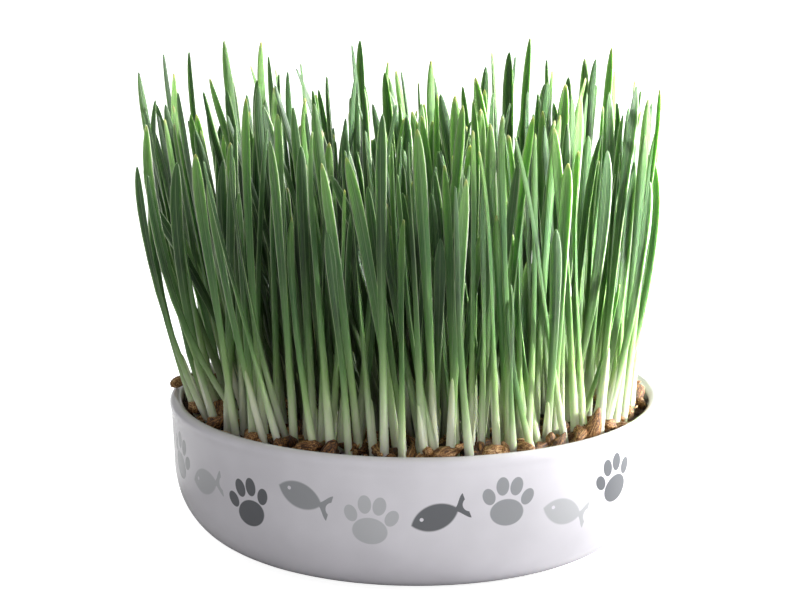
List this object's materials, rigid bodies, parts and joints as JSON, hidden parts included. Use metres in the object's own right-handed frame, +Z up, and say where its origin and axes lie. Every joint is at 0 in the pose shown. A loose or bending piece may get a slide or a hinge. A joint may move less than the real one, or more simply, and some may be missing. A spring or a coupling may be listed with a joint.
{
  "type": "bowl of cat grass",
  "caption": "Dense stand of young barley grass on root mats in soil, in a low round glazed bowl that rests on its flat foot.",
  "frame": {"origin": "centre of the bowl's foot, on the surface it rests on", "axes": "+Z up along the bowl's axis, -Y towards the viewer of the picture, +X to that viewer's right"},
  "size_m": [0.16, 0.1612, 0.149],
  "materials": {
    "glaze": "glossy white glaze with a grey print under it",
    "soil": "damp, crumbly and matte",
    "grass": "satin leaf, nearly white at the foot of each stem"
  },
  "bodies": {
    "root": {"bowl": "glaze", "soil": "soil", "tuft_01": "grass", "tuft_02": "grass", "tuft_03": "grass", "tuft_04": "grass", "tuft_05": "grass", "tuft_06": "grass", "tuft_07": "grass", "tuft_08": "grass", "tuft_09": "grass", "tuft_10": "grass", "tuft_11": "grass", "tuft_12": "grass", "tuft_13": "grass", "tuft_14": "grass", "tuft_15": "grass", "tuft_16": "grass", "tuft_17": "grass", "tuft_18": "grass", "tuft_19": "grass"}
  },
  "joints": []
}
